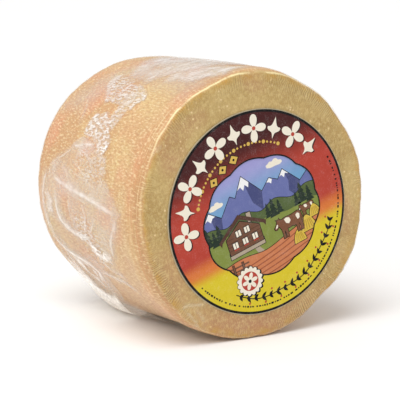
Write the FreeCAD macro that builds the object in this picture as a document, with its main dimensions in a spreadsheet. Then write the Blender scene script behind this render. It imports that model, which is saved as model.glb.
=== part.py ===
"""A small drum-shaped cheese wheel in a clear shrink film, with a round paper label.

The wheel lies on its side. Its axis runs along Y, the labelled end faces -Y, Z is up and
the origin is the middle of the footprint, on the surface that the wheel rests on.
Millimetres and degrees throughout. Angles round the axis start at +X and turn towards +Z.
"""
import FreeCAD, Part
import Sketcher
import math
import os

doc = FreeCAD.newDocument("cheese_wheel")

# ---------------------------------------------------------------- driving sizes
SIZES = [
    ("wheel_length", 99.0, "from the labelled end to the plain end"),
    ("front_width", 116.0, "labelled end, across"),
    ("front_height", 118.8, "labelled end, from bottom to top"),
    ("back_width", 117.6, "plain end, across"),
    ("back_height", 116.2, "plain end, from bottom to top"),
    ("belly_rise", 0.9, "how far the side swells out at mid length"),
    ("front_round", 2.6, "rounding of the labelled end's rim"),
    ("back_round", 4.0, "rounding of the plain end's rim"),
    ("rest_dip", 0.7, "how much of the lowest side is pressed flat"),
    ("fold_reach", 5.3, "how far the loose film stands off the side"),
    ("fold_angle", 241.0, "where the loose film is, round the axis"),
    ("fold_spread", 18.5, "half the angle that the loose film takes up"),
    ("fold_start", 34.0, "the loose film starts this far in front of mid length"),
    ("fold_crest", 23.0, "it stands highest from this far behind mid length"),
    ("fold_tail", 0.35, "share of the reach that is left at the plain end"),
    ("label_width", 90.4, "label diameter"),
    ("label_thick", 0.3, "label paper and its glue"),
    ("label_drop", 2.8, "label centre below the wheel's axis"),
    ("label_shift", 1.9, "label centre to the +X side of the wheel's axis"),
]

# Dents and swellings of the hand-made rind, strongest at one end of the wheel:
# name, end, angle, rise, half the angle it takes up.
LUMPS = [
    ("crown", "front", 92.0, 0.4, 18.0),
    ("slope_right", "front", 64.0, -1.2, 17.0),
    ("flat_right", "front", 40.0, -1.2, 24.0),
    ("slope_left", "front", 112.0, -0.7, 16.0),
    ("flat_left", "front", 150.0, -0.8, 24.0),
    ("swell_left", "front", 238.0, 0.5, 18.0),
    ("dent_low", "front", 307.0, -1.2, 16.0),
    ("swell_low", "front", 334.0, 1.2, 26.0),
    ("flat_top", "back", 92.0, -0.6, 20.0),
    ("swell_back", "back", 146.0, 0.9, 30.0),
    ("flat_back", "back", 222.0, -0.5, 18.0),
]

sheet = doc.addObject("Spreadsheet::Sheet", "sizes")
row = 0
for name, value, note in SIZES:
    row += 1
    sheet.set("A%d" % row, name)
    sheet.set("B%d" % row, str(value))
    sheet.set("C%d" % row, note)
    sheet.setAlias("B%d" % row, name)
for name, _, angle, rise, spread in LUMPS:
    for part, value in (("angle", angle), ("rise", rise), ("spread", spread)):
        row += 1
        sheet.set("A%d" % row, "%s_%s" % (name, part))
        sheet.set("B%d" % row, str(value))
        sheet.setAlias("B%d" % row, "%s_%s" % (name, part))
doc.recompute()


def size(name):
    """One driving size from the sheet."""
    return float(sheet.get(name))


# ---------------------------------------------------------------- the wheel's uneven outline
POINTS_ROUND = 60  # points in one outline, evenly spaced round the axis
RIM_STEPS = 4  # outlines in each rounded rim
SIDE_STEPS = 8  # spans between the two rims
LUMP_FADE = 0.8  # share of a lump that is gone at the other end

front_y = -(size("wheel_length") - size("label_thick")) / 2
back_y = front_y + size("wheel_length")
middle_y = (front_y + back_y) / 2


def turn_between(a, b):
    """The smaller angle between two directions, in degrees."""
    return abs((a - b + 180.0) % 360.0 - 180.0)


def bell(distance, half_width):
    """1 in the middle, easing to 0 at half_width."""
    if distance >= half_width:
        return 0.0
    return 0.5 + 0.5 * math.cos(math.pi * distance / half_width)


def ease(t):
    """0 below 0, 1 above 1 and a smooth step between."""
    t = min(1.0, max(0.0, t))
    return t * t * (3.0 - 2.0 * t)


def fold_height(angle, y):
    """How far the loose film on the lower side stands off the wheel."""
    rise = ease((y - middle_y + size("fold_start")) / (size("fold_start") + size("fold_crest")))
    past = ease((y - middle_y - size("fold_crest")) / (back_y - middle_y - size("fold_crest")))
    along = rise * (1.0 - (1.0 - size("fold_tail")) * past)
    return size("fold_reach") * along * bell(turn_between(angle, size("fold_angle")), size("fold_spread"))


def outline_radius(angle, y):
    """Distance from the axis to the surface, at one angle and one place along the wheel."""
    along = (y - front_y) / size("wheel_length")
    half_width = (size("front_width") * (1 - along) + size("back_width") * along) / 2
    half_height = (size("front_height") * (1 - along) + size("back_height") * along) / 2
    a = math.radians(angle)
    radius = half_width * half_height / math.hypot(half_height * math.cos(a), half_width * math.sin(a))
    radius += size("belly_rise") * 4 * along * (1 - along)
    for name, end, _, _, _ in LUMPS:
        away = along if end == "front" else 1.0 - along
        fade = 1.0 - LUMP_FADE * away
        shape = bell(turn_between(angle, size(name + "_angle")), size(name + "_spread"))
        radius += fade * size(name + "_rise") * shape
    return radius + fold_height(angle, y)


axis_z = min(outline_radius(270.0, front_y), outline_radius(270.0, middle_y)) - size("rest_dip")


def rim_inset(y):
    """How far the outline is drawn in where the rims are rounded."""
    for depth, rounding in ((y - front_y, size("front_round")), (back_y - y, size("back_round"))):
        if depth < rounding:
            return rounding - math.sqrt(rounding ** 2 - (rounding - depth) ** 2)
    return 0.0


def outline_places():
    """Places along the wheel that get an outline: close together in the rims, even along the side."""
    turns = [math.radians(90.0 * k / RIM_STEPS) for k in range(RIM_STEPS)]
    side_start = front_y + size("front_round")
    side_length = back_y - size("back_round") - side_start
    front = [front_y + size("front_round") * (1 - math.cos(turn)) for turn in turns]
    side = [side_start + side_length * k / SIDE_STEPS for k in range(SIDE_STEPS + 1)]
    back = [back_y - size("back_round") * (1 - math.cos(turn)) for turn in reversed(turns)]
    return front + side + back


def outline_wire(y):
    """A closed curve round the wheel at one place along it."""
    points = []
    for i in range(POINTS_ROUND):
        angle = 360.0 * i / POINTS_ROUND
        radius = outline_radius(angle, y) - rim_inset(y)
        a = math.radians(angle)
        points.append(FreeCAD.Vector(radius * math.cos(a), y, axis_z + radius * math.sin(a)))
    curve = Part.BSplineCurve()
    curve.interpolate(Points=points, PeriodicFlag=True)
    return Part.Wire([curve.toShape()])


def make_wheel():
    """The wrapped cheese: a loft through the outlines, with its lowest side pressed flat."""
    sections = []
    for i, y in enumerate(outline_places()):
        section = doc.addObject("Part::Feature", "outline_%02d" % i)
        section.Shape = outline_wire(y)
        sections.append(section)
    loft = doc.addObject("Part::Loft", "wheel_blank")
    loft.Sections = sections
    loft.Solid = True
    loft.Ruled = False

    floor = doc.addObject("Part::Box", "floor_block")
    for side in ("Length", "Width", "Height"):
        floor.setExpression(side, "2 * max(sizes.wheel_length; sizes.front_height)")
    floor.setExpression("Placement.Base.x", "-floor_block.Length / 2")
    floor.setExpression("Placement.Base.y", "-floor_block.Width / 2")
    floor.setExpression("Placement.Base.z", "-floor_block.Height")
    wheel = doc.addObject("Part::Cut", "wheel_cut")
    wheel.Base = loft
    wheel.Tool = floor
    wheel.Label = "wrapped_wheel"
    return wheel


def make_label():
    """The round paper label, glued to the end that faces -Y."""
    body = doc.addObject("PartDesign::Body", "label_body")
    body.Label = "label"
    plane = [f for f in body.Origin.OriginFeatures if f.Role == "XZ_Plane"][0]
    sketch = body.newObject("Sketcher::SketchObject", "label_outline")
    sketch.AttachmentSupport = [(plane, "")]
    sketch.MapMode = "FlatFace"
    circle = Part.Circle(FreeCAD.Vector(0, 0, 0), FreeCAD.Vector(0, 0, 1), size("label_width") / 2)
    sketch.addGeometry(circle, False)
    sketch.addConstraint(Sketcher.Constraint("Coincident", 0, 3, -1, 1))
    width = sketch.addConstraint(Sketcher.Constraint("Diameter", 0, size("label_width")))
    sketch.setExpression("Constraints[%d]" % width, "sizes.label_width")
    doc.recompute()
    pad = body.newObject("PartDesign::Pad", "label_paper")
    pad.Profile = sketch
    pad.setExpression("Length", "sizes.label_thick")
    doc.recompute()
    body.Placement.Base = FreeCAD.Vector(size("label_shift"), front_y, axis_z - size("label_drop"))
    return body


wheel = make_wheel()
label = make_label()
doc.recompute()

# ---------------------------------------------------------------- checks and export
for item in doc.Objects:
    if "Invalid" in item.State or "Error" in item.State:
        raise RuntimeError("%s failed: %s" % (item.Name, item.State))
os.makedirs("parts", exist_ok=True)
for part in (wheel, label):
    shape = part.Shape
    if shape.isNull() or not shape.isValid() or len(shape.Solids) != 1:
        raise RuntimeError("%s is not one valid solid" % part.Label)
    shape.exportStep("parts/%s.step" % part.Label)
    box = shape.BoundBox
    print("%s volume %.1f box x %.2f..%.2f y %.2f..%.2f z %.2f..%.2f" % (
        part.Label, shape.Volume, box.XMin, box.XMax, box.YMin, box.YMax, box.ZMin, box.ZMax))
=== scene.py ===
# A small cheese wheel lying on its side in clear shrink film, with a round printed label on one end.
import bpy
import math
import random
import numpy as np
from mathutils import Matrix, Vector, noise
from mathutils.bvhtree import BVHTree


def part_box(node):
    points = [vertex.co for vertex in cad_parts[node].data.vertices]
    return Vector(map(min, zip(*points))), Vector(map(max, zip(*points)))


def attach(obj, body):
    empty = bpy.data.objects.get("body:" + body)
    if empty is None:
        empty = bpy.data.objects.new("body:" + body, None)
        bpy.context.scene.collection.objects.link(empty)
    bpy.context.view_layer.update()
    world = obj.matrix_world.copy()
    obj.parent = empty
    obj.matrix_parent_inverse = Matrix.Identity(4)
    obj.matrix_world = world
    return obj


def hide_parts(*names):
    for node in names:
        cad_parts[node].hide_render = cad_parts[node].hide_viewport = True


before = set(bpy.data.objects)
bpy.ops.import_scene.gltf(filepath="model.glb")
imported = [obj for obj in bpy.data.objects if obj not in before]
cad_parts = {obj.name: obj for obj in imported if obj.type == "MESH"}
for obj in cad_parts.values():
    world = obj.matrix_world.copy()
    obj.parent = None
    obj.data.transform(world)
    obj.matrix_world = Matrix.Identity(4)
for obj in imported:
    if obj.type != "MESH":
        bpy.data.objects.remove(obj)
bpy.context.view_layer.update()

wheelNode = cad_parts["wrapped_wheel"]
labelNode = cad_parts["label"]
wheelLow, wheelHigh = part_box("wrapped_wheel")
labelLow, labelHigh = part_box("label")
mm = 0.001

# where the label sits against the wheel's axis: right of it and below it
labelSet = dict(right=1.9 * mm, down=2.8 * mm)
labelCentre = (labelLow + labelHigh) / 2
axisX = labelCentre.x - labelSet["right"]
axisZ = labelCentre.z + labelSet["down"]
frontY, backY = wheelLow.y, wheelHigh.y
middleY = (frontY + backY) / 2
wheelHalf = (backY - frontY) / 2
meanRadius = (wheelHigh.x - wheelLow.x) / 2


# small helpers

def clearSelection():
    if bpy.context.object and bpy.context.object.mode != "OBJECT":
        bpy.ops.object.mode_set(mode="OBJECT")
    bpy.ops.object.select_all(action="DESELECT")


def pick(obj):
    clearSelection()
    obj.select_set(True)
    bpy.context.view_layer.objects.active = obj


def deselectMesh(obj, mode):
    bpy.context.tool_settings.mesh_select_mode = mode
    for part in (obj.data.vertices, obj.data.edges, obj.data.polygons):
        part.foreach_set("select", [False] * len(part))


def selectEdges(obj, test):
    deselectMesh(obj, (False, True, False))
    for edge in obj.data.edges:
        edge.select = test(*(obj.data.vertices[i].co for i in edge.vertices))


def selectFaces(obj, test):
    deselectMesh(obj, (False, False, True))
    for face in obj.data.polygons:
        face.select = test(face)


def duplicate(obj, name):
    pick(obj)
    bpy.ops.object.duplicate()
    copy = bpy.context.object
    copy.name = name
    copy.data.name = name
    return copy


def applyModifier(obj, kind, **settings):
    pick(obj)
    modifier = obj.modifiers.new(kind.lower(), kind)
    for key, value in settings.items():
        setattr(modifier, key, value)
    bpy.ops.object.modifier_apply(modifier=modifier.name)


def smoothShade(obj, angle=40):
    pick(obj)
    bpy.ops.object.shade_smooth_by_angle(angle=math.radians(angle))


def read(items, key, kind=float, width=1):
    values = np.empty(len(items) * width, dtype=kind)
    items.foreach_get(key, values)
    return values if width == 1 else values.reshape(-1, width)


def points(obj):
    return read(obj.data.vertices, "co", width=3)


def normals(obj):
    return read(obj.data.vertices, "normal", width=3)


def setPoints(obj, co):
    obj.data.vertices.foreach_set("co", co.ravel())
    obj.data.update()


def mark(obj, name, values):
    attribute = obj.data.attributes.new(name, "FLOAT", "POINT")
    attribute.data.foreach_set("value", np.clip(values, 0, 1).astype(np.float32))


def smoothstep(low, high, x):
    t = np.clip((x - low) / (high - low), 0, 1)
    return t * t * (3 - 2 * t)


def roundAxis(co):
    # angle in degrees from +X towards +Z, distance from the axis, place along the wheel
    dx, dz = co[:, 0] - axisX, co[:, 2] - axisZ
    return np.degrees(np.arctan2(dz, dx)) % 360, np.hypot(dx, dz), co[:, 1] - middleY


# the blank that both the cheese and its film are shaped from

blank = dict(around=512, sideCuts=118, rimRound=3.2 * mm, rimSteps=5,
             endRings=[1.0 * mm] * 15 + [3.2 * mm] * 11)


def makeBlank():
    clearSelection()
    bpy.ops.mesh.primitive_cylinder_add(
        vertices=blank["around"], radius=meanRadius, depth=backY - frontY, end_fill_type="NGON",
        location=(axisX, middleY, axisZ), rotation=(math.pi / 2, 0, 0))
    obj = bpy.context.object
    obj.name = "wheelBlank"
    bpy.ops.object.transform_apply(location=True, rotation=True, scale=True)
    selectEdges(obj, lambda a, b: abs(a.y - b.y) < mm)
    bpy.ops.object.mode_set(mode="EDIT")
    bpy.ops.mesh.bevel(offset=blank["rimRound"], offset_type="OFFSET", segments=blank["rimSteps"],
                       profile=0.5, affect="EDGES")
    bpy.ops.object.mode_set(mode="OBJECT")
    selectEdges(obj, lambda a, b: abs(a.y - b.y) > wheelHalf)
    bpy.ops.object.mode_set(mode="EDIT")
    bpy.ops.mesh.subdivide(number_cuts=blank["sideCuts"])
    for side in (-1, 1):
        bpy.ops.object.mode_set(mode="OBJECT")
        selectFaces(obj, lambda face: len(face.vertices) > 8 and face.normal.y * side > 0.9)
        bpy.ops.object.mode_set(mode="EDIT")
        for step in blank["endRings"]:
            bpy.ops.mesh.inset(thickness=step)
        bpy.ops.mesh.poke()
    bpy.ops.object.mode_set(mode="OBJECT")
    applyModifier(obj, "SHRINKWRAP", target=wheelNode, wrap_method="PROJECT",
                  use_negative_direction=True, use_positive_direction=True)
    return obj


wheelBlank = makeBlank()
print("blank:", len(wheelBlank.data.polygons), "faces")


# on the left the front rim is worn rounder: it turns in early
wornRim = dict(middle=190, reach=65, depth=2.3 * mm, along=11 * mm, inner=47 * mm, outer=57 * mm)


def wearRim(obj):
    co = points(obj)
    angle, radius, along = roundAxis(co)
    off = np.clip((angle - wornRim["middle"]) / wornRim["reach"], -1, 1)
    pull = wornRim["depth"] * np.cos(off * math.pi / 2) ** 2
    inward = smoothstep(wornRim["along"] - wheelHalf, -wheelHalf, along)
    pull *= inward * smoothstep(wornRim["inner"], wornRim["outer"], radius)
    share = 1 - pull / np.maximum(radius, mm)
    for part, middle in ((0, axisX), (2, axisZ)):
        co[:, part] = middle + (co[:, part] - middle) * share
    setPoints(obj, co)


def unroll(obj):
    # UV in metres: u runs round the wheel from the underside, v along its profile
    mesh = obj.data
    uv = mesh.uv_layers[0] if mesh.uv_layers else mesh.uv_layers.new(name="unrolled")
    uv.name = "unrolled"
    angle, radius, along = roundAxis(points(obj))
    turn = ((angle + 90) % 360) / 360
    profile = along + np.sign(along) * (meanRadius - np.minimum(radius, meanRadius))
    corner = read(mesh.loops, "vertex_index", int)
    start, count = (read(mesh.polygons, key, int) for key in ("loop_start", "loop_total"))
    first = turn[corner[start]].repeat(count)
    t = turn[corner]
    t = first + (t - first + 0.5) % 1.0 - 0.5
    out = np.stack([t * 2 * math.pi * meanRadius, profile[corner]], axis=1)
    uv.data.foreach_set("uv", out.ravel())


# the cheese under the film

cheeseForm = dict(inset=0.15 * mm, foldStart=214, foldEnd=266, foldKept=0.45, dentSize=17 * mm,
                  dentDepth=0.25 * mm, lumpSize=4.5 * mm, lumpDepth=0.10 * mm, rimWobble=0.35 * mm,
                  wobbleSize=3.5 * mm)


def wheelReach(tree, angle, y):
    # how far the wheel reaches from its axis in one direction
    way = Vector((math.cos(math.radians(angle)), 0, math.sin(math.radians(angle))))
    inner = Vector((axisX, y, axisZ)) + way * meanRadius * 0.5
    hit = tree.ray_cast(inner, way)[0]
    return (hit - Vector((axisX, y, axisZ))).length if hit else meanRadius


def makeCheese():
    obj = duplicate(wheelBlank, "cheese")
    tree = BVHTree.FromObject(wheelNode, bpy.context.evaluated_depsgraph_get())
    co = points(obj)
    angle, radius = roundAxis(co)[:2]
    low, high = cheeseForm["foldStart"], cheeseForm["foldEnd"]
    reach = {}
    for i in np.nonzero((angle > low) & (angle < high) & (radius > meanRadius * 0.9))[0]:
        y = round(float(co[i, 1]), 5)
        if y not in reach:
            inside = min(max(y, frontY + 0.1 * mm), backY - 0.1 * mm)
            reach[y] = (wheelReach(tree, low, inside), wheelReach(tree, high, inside))
        share = (angle[i] - low) / (high - low)
        most = reach[y][0] * (1 - share) + reach[y][1] * share
        if radius[i] > most:
            most += (radius[i] - most) * cheeseForm["foldKept"]
            for part, middle in ((0, axisX), (2, axisZ)):
                co[i, part] = middle + (co[i, part] - middle) * most / radius[i]
    setPoints(obj, co)
    co, no = points(obj), normals(obj)
    lift = np.full(len(co), -cheeseForm["inset"])
    for i, p in enumerate(co):
        place = Vector(p)
        side = 1 - smoothstep(0.5, 0.9, abs(no[i, 1]))
        lift[i] += side * cheeseForm["dentDepth"] * (noise.noise(place / cheeseForm["dentSize"]) - 0.6)
        lift[i] += cheeseForm["lumpDepth"] * (noise.noise(place / cheeseForm["lumpSize"]) - 0.5)
        rim = abs(no[i, 1]) * math.sqrt(max(0.0, 1 - no[i, 1] ** 2)) * 2
        lift[i] += rim * cheeseForm["rimWobble"] * (noise.noise(place / cheeseForm["wobbleSize"]) - 0.3)
    co += no * lift[:, None]
    co[:, 2] = np.maximum(co[:, 2], cheeseForm["inset"])
    setPoints(obj, co)
    unroll(obj)
    mark(obj, "endFace", smoothstep(0.55, 0.98, np.abs(normals(obj)[:, 1])))
    wearRim(obj)
    smoothShade(obj, 80)
    return obj


cheese = makeCheese()
print("cheese shaped")


# the shrink film: tight on the rind, lifted in creases and in air pockets

filmForm = dict(floorGap=0.02 * mm, raggedEdge=1.2, airLift=0.06 * mm, glow=0.75, endGlow=0.25,
                glowWidth=2.6, patchy=0.32, patchSize=10 * mm)

# creases: width and height in mm, haze (film whitened by stress, with painted highlight along the ridge),
# then points as (mm along the wheel, degrees round it)
filmCreases = [
    (1.7, 0.50, 0.72, [(36, 170), (28, 173), (20, 174.6), (10, 176), (0, 177), (-12, 178.3), (-27, 180.6),
                       (-38, 181)]),
    (1.2, 0.25, 0.45, [(22, 177), (12, 178.4), (2, 179.2), (-10, 180.6)]),
    (1.1, 0.45, 0.88, [(27, 177), (25.9, 183), (25.3, 187.5), (22.5, 191.8), (14, 195.2), (3, 196.2),
                       (-9, 195)]),
    (1.0, 0.25, 0.55, [(12.5, 180), (11.8, 185), (11, 191)]),
    (1.1, 0.25, 0.60, [(1, 180), (-3.5, 185.5), (-2.4, 190), (0.5, 196)]),
    (1.0, 0.25, 0.50, [(-14, 184), (-10, 189), (-5, 194)]),
    (1.8, 0.45, 0.82, [(-2, 195.5), (-5.5, 200.5), (-12, 203), (-23, 201.5)]),
    (1.3, 0.30, 0.62, [(-34, 182), (-29, 188), (-24.5, 195), (-22.5, 203.5)]),
    (1.2, 0.50, 0.85, [(39, 198), (37, 203), (30, 207.8), (20, 209.8), (10, 211.4), (4, 215), (8, 220),
                       (15, 226)]),
    (1.2, 0.45, 0.80, [(33, 207), (32, 214), (31, 222), (27, 227), (19, 229)]),
    (1.6, 0.45, 0.88, [(38, 212), (37, 222), (34, 231), (29, 238)]),
    (1.3, 0.40, 0.75, [(27, 209), (22, 217), (15, 223), (9, 229)]),
    (0.9, 0.30, 0.62, [(6, 216), (-3, 213.6), (-13, 214.6), (-22, 214.6), (-31, 221)]),
    (0.9, 0.30, 0.55, [(5, 217), (7, 226), (4, 236)]),
    (1.0, 0.30, 0.50, [(-5, 206), (-16, 209), (-27, 212)]),
    (0.9, 0.30, 0.72, [(16, 157.8), (10, 157.2), (5, 156.0), (0, 155.6), (-5, 154.4)]),
    (1.3, 0.20, 0.62, [(16, 121), (17.5, 125), (13, 129.5), (8.5, 133)]),
    (1.1, 0.25, 0.66, [(-5.5, 132), (-8, 134.3), (-12, 133.6), (-13, 131), (-10, 128.6), (-6.5, 129.3),
                       (-5.5, 132)]),
    (0.8, 0.25, 0.50, [(34, 168.5), (26, 165), (18, 161), (12, 158)]),
    (1.2, 0.25, 0.60, [(35, 170), (38.5, 177), (39.8, 184), (39.6, 190), (38, 203)]),
    (0.8, 0.20, 0.42, [(22, 166), (8, 169), (-6, 171), (-20, 170)]),
    (0.8, 0.20, 0.50, [(3, 159), (-4, 162.5), (-13, 168)]),
    (0.8, 0.20, 0.45, [(16, 163), (6, 166), (-4, 170), (-12, 175)]),
    (1.0, 0.20, 0.55, [(26, 113), (10, 104), (-8, 100), (-26, 97)]),
    (1.2, 0.15, 0.55, [(12, 96), (-4, 91), (-24, 89), (-38, 86)]),
    (0.7, 0.20, 0.35, [(30, 126), (26, 134), (20, 141), (18, 149)]),
    (0.8, 0.25, 0.40, [(40, 222), (30, 246), (12, 252), (-8, 250)]),
    (1.6, 0.45, 0.78, [(40, 22), (26, 19), (12, 20), (-4, 16), (-22, 18), (-38, 12)]),
    (1.1, 0.35, 0.66, [(30, 6), (24, 358), (10, 352), (-6, 354), (-20, 347)]),
    (1.2, 0.40, 0.72, [(12, 20), (4, 32), (-8, 40), (-20, 47), (-34, 50)]),
    (1.0, 0.30, 0.58, [(38, 330), (28, 322), (14, 316), (2, 318), (-10, 311), (-24, 306)]),
    (0.9, 0.25, 0.50, [(22, 318), (20, 330), (26, 341), (34, 346)]),
    (0.9, 0.25, 0.45, [(-12, 330), (-22, 336), (-30, 346), (-40, 350)]),
]

# creases on the two ends: as above, but the points are (mm right, mm up) from the wheel's axis
frontCreases = [
    (0.8, 0.35, 0.46, [(-37.5, -42.5), (-34.5, -40.2), (-24.5, -40.1)]),
    (0.8, 0.40, 0.58, [(-34.8, -43), (-31.4, -46.2), (-27.9, -50.7)]),
    (0.7, 0.30, 0.44, [(-29.9, -41.7), (-25, -48.4)]),
    (0.8, 0.25, 0.30, [(-49.2, 27), (-46.4, 30.4)]),
]
backCreases = [
    (0.9, 0.40, 0.36, [(-52, 8), (-42, 10), (-29, 8.5), (-16, 11.5), (-2, 12), (12, 15), (24, 15.6),
                       (34, 18)]),
    (0.8, 0.30, 0.28, [(-46, -22), (-36, -18.5), (-24, -18), (-12, -14.5), (-3, -9)]),
    (0.8, 0.35, 0.32, [(17, -54), (15, -43), (17, -31), (14.5, -20), (15, -8)]),
    (0.8, 0.30, 0.28, [(-21, 50), (-18, 40), (-18.5, 30), (-15, 21)]),
    (0.8, 0.30, 0.26, [(53, -4), (43, -6), (34, -3), (26, -5)]),
]

# spots where the film was pinched, their pale lines partly painted highlight and some of the smaller spots
# painted glints: place, how many fine lines run out, their least and most reach in mm
pinchesAndGlints = [
    ((-9, 131.4), 13, 3.5, 8), ((1, 147.5), 7, 2, 4), ((-1.7, 165.2), 8, 2, 4.5), ((-15, 167.5), 7, 1.5, 4),
    ((-0.2, 190.3), 7, 1.5, 4), ((2.4, 200), 8, 1.5, 4), ((-12, 206), 8, 2, 5), ((-5, 154.6), 6, 1, 2.5),
    ((-3.5, 215.2), 6, 1.5, 3.5), ((14, 20), 8, 2, 5), ((-18, 48), 9, 2, 5), ((22, 318), 8, 2, 5),
]
pinchForm = dict(start=1.8, width=0.45, height=0.22, haze=0.62)

# places where the film is whitened: air lying under it, and along the top a painted sheen, the reflection of
# the light from above: how white, how soft the edge in mm, then corners as above
hazeAndSheenPlaces = [
    (0.36, 1.6, [(9, 152.5), (16, 156), (17, 159.5), (22.5, 163.3), (33, 167), (35.5, 174), (38.5, 182),
                 (39.5, 188), (38.5, 195), (38, 204), (38, 214), (36, 226), (30, 238), (16, 242), (2, 240),
                 (-2, 226), (-3, 214), (-10, 206.5), (-22, 203), (-24, 195), (-29.5, 187.5), (-37, 181),
                 (-27, 172), (-19, 168), (-20.5, 165), (-17, 159.5), (-10, 157)]),
    # this one and the next two lie along the top and are painted sheen
    (0.64, 11.0, [(12, 119), (22, 108), (34, 90), (26, 70), (-14, 66), (-34, 84), (-30, 104), (-14, 112),
                  (-8, 120.5), (2, 118)]),
    (0.72, 13.0, [(22, 104), (24, 84), (4, 78), (-16, 84), (-20, 98), (-6, 107), (8, 109)]),
    (0.72, 9.0, [(-14, 112), (-26, 98), (-44, 92), (-46, 104), (-36, 114), (-20, 118)]),
    (0.56, 1.6, [(7, 135.4), (16.5, 129.5), (23.5, 123), (24, 118.8), (19, 117.4), (16, 121.5), (12, 127),
                 (6, 131)]),
    (0.50, 1.8, [(6, 129), (2, 123), (-8, 122.4), (-19, 127), (-21.5, 130), (-17.5, 133), (-17.3, 136),
                 (-8, 135.6), (0, 134.5)]),
    (0.42, 1.6, [(8, 135.4), (20, 124), (18, 118.8), (2, 120.5), (-4, 127), (0, 134.5)]),
    (0.42, 1.4, [(-6, 134), (-14, 135.5), (-14, 141), (-12, 147), (-7, 147), (-5, 140)]),
    (0.60, 1.5, [(8, 141.2), (0, 140.2), (-8, 143.4), (-9.5, 147.4), (-16, 152.4), (-13.4, 157.8),
                 (-9.4, 157.6), (-3.5, 153.5), (4, 152.4), (9.5, 151.5), (11, 147), (9.5, 143.4)]),
    (0.42, 2.0, [(35, 171), (30, 170.5), (18, 172.5), (4, 175), (4, 178), (18, 177.6), (30, 176)]),
    (0.60, 2.2, [(38, 181), (33, 180.5), (29, 184), (30, 189), (36, 191)]),
    (0.66, 1.8, [(27, 210), (20, 211), (12, 212.5), (7, 216), (14, 223), (20, 219)]),
    (0.80, 2.0, [(38, 215), (34, 212), (32, 217), (31, 224), (27, 229), (28, 240), (36, 238), (40, 226)]),
    (0.55, 1.6, [(-4, 197), (-6, 202.5), (-22, 203), (-21, 199.5), (-12, 201)]),
    (0.93, 5.0, [(44, 222), (30, 228), (14, 230), (5, 230), (3, 240), (10, 250), (24, 258), (40, 260),
                 (46, 244)]),
    (0.34, 6.0, [(4, 230), (-16, 234), (-26, 244), (-16, 256), (10, 262), (16, 250)]),
    # a broad faint painted sheen over the upper part of the side
    (0.27, 14.0, [(42, 142), (34, 122), (24, 104), (-46, 104), (-46, 124), (-24, 122), (4, 118), (14, 124),
                  (20, 142)]),
    (0.34, 2.2, [(38, 20), (26, 18), (12, 19), (-4, 15), (-20, 17), (-30, 10), (-22, 350), (-4, 353),
                 (12, 350), (26, 356), (36, 4)]),
    (0.46, 2.0, [(10, 21), (2, 31), (-10, 40), (-20, 45), (-26, 36), (-14, 26), (-2, 20)]),
    (0.28, 2.6, [(36, 330), (26, 322), (14, 317), (2, 318), (-10, 312), (-4, 326), (12, 334), (28, 340)]),
]

# one on the back end, in its own (mm right, mm up)
backAir = (0.20, 5.0, [(-50, 6), (-38, 9), (-27, 8), (-12, 12), (3, 11), (0, 0), (-8, -12), (-20, -17),
                       (-34, -18), (-46, -20)])

# places where the film bridges the cloth's threads, so that the rind shows through it in slanting dashes
wovenPlaces = [
    (3.0, [(8, 135), (18, 126), (18, 119), (0, 121), (-20, 127), (-22, 131), (-17, 137), (-13, 142),
           (-12, 148), (-18, 152), (-14, 160), (-4, 156), (10, 152), (12, 146), (4, 139)]),
    (5.0, [(-14, 160), (-22, 163), (-20, 170), (-4, 172), (10, 166), (6, 158)]),
    (4.0, [(8, 186), (6, 206), (-8, 212), (-20, 206), (-12, 192), (-4, 184)]),
    (3.0, [(4, 24), (-6, 38), (-18, 44), (-22, 34), (-8, 24)]),
]

# places inside the hazy ones where the film lies on the rind again: how clear, how soft, then corners
clearPlaces = [
    (0.60, 3.0, [(37, 192), (25, 193.5), (14, 198), (0, 199), (-3, 204), (8, 207), (22, 206), (35, 200)]),
    (0.65, 1.6, [(19, 213), (11, 213.5), (13, 221.5), (20, 218)]),
    (0.60, 2.0, [(37, 207), (33, 209), (32, 220), (36, 216)]),
    (0.45, 3.0, [(20, 180), (14, 181), (13, 190), (20, 188)]),
    (0.35, 3.0, [(30, 160), (22, 166), (8, 171), (2, 168), (12, 161)]),
]


def unrolled(along, angle):
    # flat place on the side, in mm: along the wheel and round it
    return np.stack([along, np.radians(angle) * meanRadius / mm], axis=-1)


def unrolledLine(pts):
    # points (mm along the wheel, degrees round it) in one run, also where the angle starts again
    turns = np.unwrap([t for a, t in pts], period=360)
    return np.array([unrolled(np.array(a), np.array(t)) for (a, _), t in zip(pts, turns)])


def wrapped(place, near):
    # the same places, counted round the wheel on the side nearer to a point
    around = 2 * math.pi * meanRadius / mm
    out = place.copy()
    out[:, 1] = near[1] + (place[:, 1] - near[1] + around / 2) % around - around / 2
    return out


def awayFromLine(place, line):
    # distance from each place to a bent line, and how far along the line the nearest point is
    line = [np.array(p, float) for p in line]
    best = np.full(len(place), 1e9)
    share = np.zeros(len(place))
    lengths = [np.linalg.norm(b - a) for a, b in zip(line[:-1], line[1:])]
    done, total = 0.0, sum(lengths)
    for a, b, length in zip(line[:-1], line[1:], lengths):
        t = np.clip(((place - a) @ (b - a)) / length ** 2, 0, 1)
        d = np.linalg.norm(place - (a + t[:, None] * (b - a)), axis=1)
        nearer = d < best
        best[nearer] = d[nearer]
        share[nearer] = ((done + t * length) / total)[nearer]
        done += length
    return best, share


def bell(distance, width):
    return np.exp(-(distance / width) ** 2)


def tapered(share):
    # a crease fades out at both ends
    return np.clip(np.minimum(share, 1 - share) * 5, 0, 1) ** 0.7


def smoothLine(pts, steps=8):
    # a curve through the points
    pts = [np.array(p, float) for p in pts]
    ends = [2 * pts[0] - pts[1]] + pts + [2 * pts[-1] - pts[-2]]
    line = []
    for p0, p1, p2, p3 in zip(ends, ends[1:], ends[2:], ends[3:]):
        for k in range(steps):
            t = k / steps
            line.append(0.5 * (2 * p1 + (p2 - p0) * t + (2 * p0 - 5 * p1 + 4 * p2 - p3) * t ** 2
                               + (3 * p1 - p0 - 3 * p2 + p3) * t ** 3))
    return np.array(line + [pts[-1]])


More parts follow.
